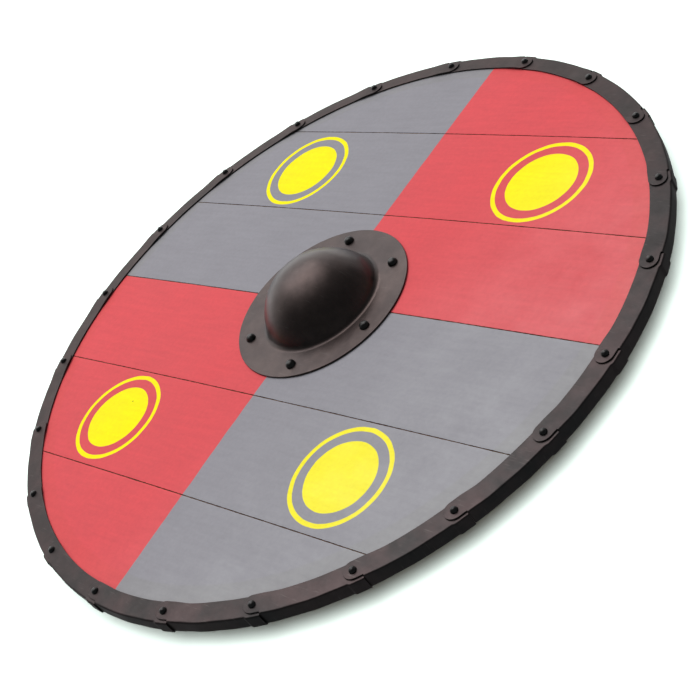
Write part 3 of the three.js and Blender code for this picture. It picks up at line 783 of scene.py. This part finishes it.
def channel(number):
    """One folded channel. It starts at its own rivet and runs clockwise to the next one's."""
    turn = rivet_turns[number - 1]
    length = RIM_RADIUS * ((turn - rivet_turns[number % CHANNELS]) % (2 * np.pi))
    body, root = stations_along(length)
    growth = 1 - (1 - np.linspace(0, 1, 22)[1:]) ** 1.6
    u = np.concatenate([body, root + growth])[:, None]
    on_tongue = np.arange(len(u))[:, None] >= len(body)
    free = smooth(u, *FADE) * smooth(length - u, *FADE)
    swell = LAP * (1 - smooth(u, SWELL_END, SWELL_END + SETTLE))
    swell = swell + 0.25 * free * unevenness(300 + number, 90, u)
    lift = LAP * smooth(u, root - RISE, root)

    side = RIM_RADIUS + swell
    askew = 1 + np.cos(turn - u / RIM_RADIUS + np.radians(30))
    inner = RIM_INNER + askew + free * (0.2 + 0.2 * unevenness(400 + number, 130, u))
    inner = inner - 0.2 * smooth(u, length - 26, length - 8)
    tongue_side = RIM_RADIUS - TONGUE_SETBACK - BEND
    middle, half = (inner + tongue_side) / 2, (tongue_side - inner) / 2

    # columns across the strip: the tongue's width, the rest of the front leg, the folds
    fan = np.linspace(0, np.pi, 21)
    fold = np.linspace(0, np.pi / 2, 7)
    wall = np.linspace(0, 1, 9)[1:]
    leg = np.concatenate([[0, 0.01, 0.03], np.linspace(0, 1, 9)[1:]])
    tongue_columns = middle - np.cos(fan) * half
    strip_columns = tongue_side + np.array([0.35, 0.5]) * (side - BEND - tongue_side)
    top = RIM_TOP + lift
    wall_low, wall_high = RIM_BOTTOM + BEND, top - BEND

    def across(thick):
        """Radius and level of every column, `thick` below the outside of the sheet."""
        arc = BEND - thick
        one = np.ones_like(u)
        radius = np.hstack([
            tongue_columns,
            strip_columns,
            side - BEND + arc * np.sin(fold),
            (side - thick) * np.ones_like(wall),
            side - BEND + arc * np.cos(fold[1:]),
            side - BEND + (inner - side + BEND) * leg[1:],
        ])
        level = np.hstack([
            (top - thick) + lean(radius[:, : len(fan) + strip_columns.shape[1]]),
            top - BEND + arc * np.cos(fold),
            wall_high + (wall_low - wall_high) * wall,
            (RIM_BOTTOM + BEND) * one - arc * np.sin(fold[1:]),
            (RIM_BOTTOM + thick) * np.ones((len(u), len(leg) - 1)),
        ])
        return radius, level

    radius, level = across(0)
    inner_radius, inner_level = across(SHEET)
    columns = radius.shape[1]
    place = np.arange(columns)
    wall_start = len(fan) + strip_columns.shape[1] + len(fold) - 1
    on_leg = place < len(fan)
    on_wall = (place >= wall_start + 1) & (place <= wall_start + len(wall))

    # how far along each column reaches past the root, and the rounding of the cut edges
    reach = np.zeros(columns)
    reach[: len(fan)] = length - root + TONGUE_LENGTH * np.sin(fan)
    reach[on_wall] = length - root + TAB_LENGTH
    along = np.where(on_tongue, root + (u - root) * reach, u)
    past = np.maximum(along - length, 0) / TONGUE_LENGTH
    oval = np.hypot((radius - middle) / half, past)
    from_edge = np.minimum(np.abs(radius - inner), along + LAP_START)
    from_edge = np.where(on_tongue & on_leg, (1 - oval) * half, from_edge)
    from_edge = np.where(~on_tongue & ~on_leg, np.minimum(from_edge, root - along), from_edge)
    fall = eased(np.maximum(from_edge, 0))
    wave = 0.14 * free * (1 + unevenness(500 + number, 70, u, radius)) * (place < wall_start)
    level = level + wave + np.where(place < wall_start, -fall, 0)
    inner_level = inner_level + wave
    level = np.where(place > wall_start + len(wall) + 5, level + fall, level)

    def on_rim(radius, level):
        angle = turn - along / RIM_RADIUS
        return np.stack([radius * np.cos(angle), radius * np.sin(angle), level], -1)

    kept = np.ones((len(u) - 1, columns - 1), bool)
    past_root = np.arange(len(u) - 1) >= len(body) - 1
    pair_leg = on_leg[:-1] & on_leg[1:]
    pair_wall = on_wall[:-1] & on_wall[1:]
    kept[past_root] = pair_leg | pair_wall
    points, faces = sheet_shell(on_rim(radius, level), on_rim(inner_radius, inner_level), kept)
    return make_piece(f"rim_channel_{number:02d}", points, faces, f"rim_segment_{number:02d}",
                      [RIM_STEEL], crease=32)


channels = [channel(number) for number in range(1, CHANNELS + 1)]
print("channels:", len(channels), "of", len(channels[0].data.polygons), "faces")

# %% [markdown]
# ## Rivets
# A rivet is turned: its outline, from the tail's tip over the shank to the top of the head, is
# carried round its own axis. Hammering leaves no head quite round, so the radius gets a little
# chance with the angle. The finish is the black of hot oil, glossier than the rim.

# %% Turn and set the rivets
def turned(outline, turns, swing=None):
    """Points and faces of a form of revolution. The outline's rows are radius and level, and its
    first and last row are on the axis. `swing` may change radius and level with the angle."""
    angle = np.linspace(0, 2 * np.pi, turns, endpoint=False)[None, :]
    radius, level = outline[1:-1, :1], outline[1:-1, 1:]
    radius, level = radius * np.ones_like(angle), level * np.ones_like(angle)
    if swing is not None:
        radius, level = swing(radius, level, angle)
    rings = np.stack([radius * np.cos(angle), radius * np.sin(angle), level], -1).reshape(-1, 3)
    first, last = [0, 0, outline[0, 1]], [0, 0, outline[-1, 1]]
    points = np.vstack([rings, first, last])
    faces = cells(len(outline) - 2, turns, loop=True)
    here = np.arange(turns)
    beside = (here + 1) % turns
    end = (len(outline) - 3) * turns
    start, close = np.full(turns, len(rings)), np.full(turns, len(rings) + 1)
    return points, np.vstack([
        faces,
        np.stack([start, start, beside, here], -1),
        np.stack([close, close, here + end, beside + end], -1),
    ])


def oiled_rivets():
    """Oil-blackened steel: near black, with a tight highlight."""
    material, tree, shader, place = new_material("oil_blackened_steel_rivets")
    mottle = node(tree, "ShaderNodeTexNoise", {"Vector": place, "Scale": 500, "Detail": 3})
    tone = node(tree, "ShaderNodeMix", {0: mottle.outputs[0], 6: hex_colour("#0e0d0d"),
                7: hex_colour("#262322")}, data_type="RGBA")
    tree.links.new(tone.outputs[2], shader.inputs["Base Color"])
    gloss = node(tree, "ShaderNodeMapRange", {"Value": mottle.outputs[0], "To Min": 0.26,
                 "To Max": 0.42})
    tree.links.new(gloss.outputs[0], shader.inputs["Roughness"])
    bump = node(tree, "ShaderNodeBump", {"Height": mottle.outputs[0], "Distance": 0.06 * MM})
    tree.links.new(bump.outputs[0], shader.inputs["Normal"])
    shader.inputs["Metallic"].default_value = 0.5
    return material


RIVET_STEEL = oiled_rivets()
GRIP_TAIL = 2.7  # height of a tail on the grip


def tail_level(node_name, low):
    """Where a tail bears: on the rim's back leg, on the grip's end or on the boards' back."""
    if node_name.startswith("rim"):
        return RIM_BOTTOM
    through_grip = low < RIM_BOTTOM - 3
    return low + GRIP_TAIL if through_grip else BACK - 0.1


def rivet(node_name, piece_name, seat, head, high, tail, shank, seed):
    """A rivet at its frame node's place, whose head bears on `seat`."""
    low, top = extent(node_name)
    centre = (low + top) / 2
    swell = np.linspace(0, np.pi / 2, 12)
    dome = np.stack([head * np.cos(swell) ** 0.85, seat + high * np.sin(swell)], -1)
    tip = np.linspace(0, np.pi / 2, 7)
    tail_seat = tail_level(node_name, low[2])
    hammered = np.stack([tail * np.sin(tip), tail_seat - (tail_seat - low[2]) * np.cos(tip)], -1)
    neck = np.array([[shank, tail_seat], [shank, seat]])
    outline = np.vstack([hammered, neck, [[head * 0.97, seat]], dome])
    outline[0, 0] = outline[-1, 0] = 0

    def swing(radius, level, angle):
        ripple = unevenness(seed, 3, 1.6 * np.cos(angle), 1.6 * np.sin(angle), level)
        return radius * (1 + 0.03 * ripple), level + 0.12 * ripple * (level > seat + 0.5)

    points, faces = turned(outline, 40, swing)
    points = points + [centre[0], centre[1], 0]
    return make_piece(piece_name, points, faces, node_name, [RIVET_STEEL], crease=50)


BOSS_RIVETS = 6
BOSS_SHEET = 2.0
FLANGE_TOP = extent("boss")[0][2] + BOSS_SHEET
RIVET_INSET = 10.5
TONGUE_SEAT = RIM_TOP + LAP + lean(RIM_RADIUS - RIVET_INSET) - 0.4  # a little into the tongue
RIM_HEAD = {"seat": TONGUE_SEAT, "head": 3.8, "high": 4.0, "tail": 3.4, "shank": 1.8}
BOSS_HEAD = {"seat": FLANGE_TOP, "head": 5.5, "high": 5.3, "tail": 4.4, "shank": 2.2}
for number in range(1, CHANNELS + 1):
    rivet(f"rim_rivet_{number:02d}", f"rim_stud_{number:02d}", seed=600 + number, **RIM_HEAD)
for number in range(1, BOSS_RIVETS + 1):
    rivet(f"boss_rivet_{number}", f"boss_stud_{number}", seed=700 + number, **BOSS_HEAD)
print("rivets:", CHANNELS + BOSS_RIVETS)

# %% [markdown]
# ## Boss
# The boss is raised from one disc of 2 mm steel: a dome that is part of a ball, a hollow curve
# where it meets the flange, and the flat flange. Its outline goes out over the top and back
# underneath, so the turned form has a real thickness. Planishing leaves it very slightly uneven.

# %% Raise the boss
DOME_CURVE = 69.0  # radius of the ball
DOME_HOLLOW = 6.0  # radius of the curve at its foot
FILED = 0.6  # radius of the flange's rounded edge


def dome_outline(inset):
    """The dome's skin from crown to flange as radius and level: an arc of the ball, then an arc of
    the hollow that is tangent to it and to the flange. `inset` is the depth into the sheet."""
    summit = extent("boss")[1][2]
    reach = DOME_CURVE + DOME_HOLLOW
    slope = np.arccos((reach - summit + FLANGE_TOP) / reach)
    ball, hollow = DOME_CURVE - inset, DOME_HOLLOW + inset
    over = np.linspace(0, slope, 46)
    under = np.linspace(slope, 0, 15)[1:]
    dome = np.stack([ball * np.sin(over), summit - DOME_CURVE + ball * np.cos(over)], -1)
    foot = np.stack([reach * np.sin(slope) - hollow * np.sin(under),
                     FLANGE_TOP + DOME_HOLLOW - hollow * np.cos(under)], -1)
    return np.vstack([dome, foot])


def boss():
    """The whole boss, with its edge rounded as by a file."""
    edge = extent("boss")[1][1] - MIDDLE
    turn = np.linspace(0, np.pi / 2, 5)
    outside, inside = dome_outline(0), dome_outline(BOSS_SHEET)
    flat = np.linspace(outside[-1, 0] + 1.5, edge - 1.5, 14)
    top = np.stack([flat, np.full(14, FLANGE_TOP)], -1)
    rounded = [edge, FLANGE_TOP] + FILED * (np.stack([np.sin(turn), np.cos(turn)], -1) - 1)
    low = FLANGE_TOP - BOSS_SHEET
    bottom = np.array([[edge, low + 0.2], [edge - 0.2, low], [edge - 12, low]])
    outline = np.vstack([outside, top, rounded, bottom, inside[::-1]])

    def planish(radius, level, angle):
        x, y = radius * np.cos(angle), radius * np.sin(angle)
        height = 0.07 * unevenness(801, 34, x, y) + 0.05 * unevenness(802, 90, x, y)
        height = height * smooth(radius, 0, 3)
        out = smooth(level, FLANGE_TOP + 2, FLANGE_TOP + 14)
        return radius + out * height, level + height

    points, faces = turned(outline, 220, planish)
    points = points + [0, MIDDLE, 0]
    return make_piece("raised_boss", points, faces, "boss", [BOSS_STEEL])


BOSS = boss()
print("boss:", len(BOSS.data.polygons), "faces")

# %% [markdown]
# ## Hand grip
# The grip is an ash bar across the hand hole, on the back. It is deep in the middle, where the
# fist closes round it, has a waist for the fingers, and thins out to two flat ends that the boss
# rivets hold. It is the same kind of bar as a board, carried along its own line and then turned.

# %% Carve the grip
GRIP_TURN = 105
GRIP_END = 102  # from its middle
END_ROUND = 3
END_DEEP = 10


def ash_grip():
    """Ash, scraped and worn by the hand: pale, with coarse pores in long dashes."""
    material, tree, shader, place = new_material("hand_worn_ash")
    lying = node(tree, "ShaderNodeMapping", {"Vector": place,
                 "Rotation": (0, 0, np.radians(-GRIP_TURN))})
    long = node(tree, "ShaderNodeMapping", {"Vector": lying.outputs[0], "Scale": (5, 110, 60)})
    band = node(tree, "ShaderNodeTexNoise", {"Vector": long.outputs[0], "Scale": 1, "Detail": 4,
                "Distortion": 0.6})
    thin = node(tree, "ShaderNodeMapping", {"Vector": lying.outputs[0], "Scale": (70, 1300, 1300)})
    pore = node(tree, "ShaderNodeTexNoise", {"Vector": thin.outputs[0], "Scale": 1, "Detail": 1})
    wood = node(tree, "ShaderNodeMix", {0: band.outputs[0], 6: hex_colour("#bd9460"),
                7: hex_colour("#8c6238")}, data_type="RGBA")
    dark = node(tree, "ShaderNodeMapRange", {"Value": pore.outputs[0], "From Min": 0.28,
                "From Max": 0.42, "To Min": 0.6, "To Max": 1.0})
    toned = node(tree, "ShaderNodeVectorMath", {0: wood.outputs[2], "Scale": dark.outputs[0]},
                 operation="SCALE")
    tree.links.new(toned.outputs[0], shader.inputs["Base Color"])
    bump = node(tree, "ShaderNodeBump", {"Height": pore.outputs[0], "Distance": 0.1 * MM})
    tree.links.new(bump.outputs[0], shader.inputs["Normal"])
    gloss = node(tree, "ShaderNodeMapRange", {"Value": band.outputs[0], "To Min": 0.4,
                 "To Max": 0.58})
    tree.links.new(gloss.outputs[0], shader.inputs["Roughness"])
    return material


def grip():
    """Half width and underside are S-curves of the distance from the middle."""
    straight = GRIP_END - END_ROUND
    ends = straight + END_ROUND * np.sin(np.linspace(0, np.pi / 2, 7))
    along = np.concatenate([-ends[::-1], np.linspace(-straight, straight, 121)[1:-1], ends])
    far = np.abs(along)
    close = 1.4 * (1 - np.sqrt(1 - np.clip((far - straight) / END_ROUND, 0, 1) ** 2))
    half = 14 + 4 * smooth(far, 22, 56) - close
    deep = extent("hand_grip")[1][2]
    top = deep - 0.1 * close
    bottom = (deep - END_DEEP) * smooth(far, 54, 74) + 0.6 * close
    soft = np.minimum(5 + 0 * far, (top - bottom) / 2.4)
    ease = np.stack([np.minimum(soft, 3.5), np.minimum(soft, 3.5), soft, soft], 1)
    rings = bar_rings(-half, half, bottom, top, ease, 10)
    across, level = rings[..., 0], rings[..., 1]
    worn = 0.18 * unevenness(901, 40, along[:, None] + 0 * across, across, level)
    turn = np.radians(GRIP_TURN)
    sideways = across * (1 + worn / 18)
    x = along[:, None] * np.cos(turn) - sideways * np.sin(turn)
    y = along[:, None] * np.sin(turn) + sideways * np.cos(turn) + MIDDLE
    points = np.stack([x, y, level], -1).reshape(-1, 3)
    return make_piece("ash_hand_grip", points, bar_faces(len(along), rings.shape[1]), "hand_grip",
                      [ash_grip()])


GRIP = grip()
print("grip:", len(GRIP.data.polygons), "faces")
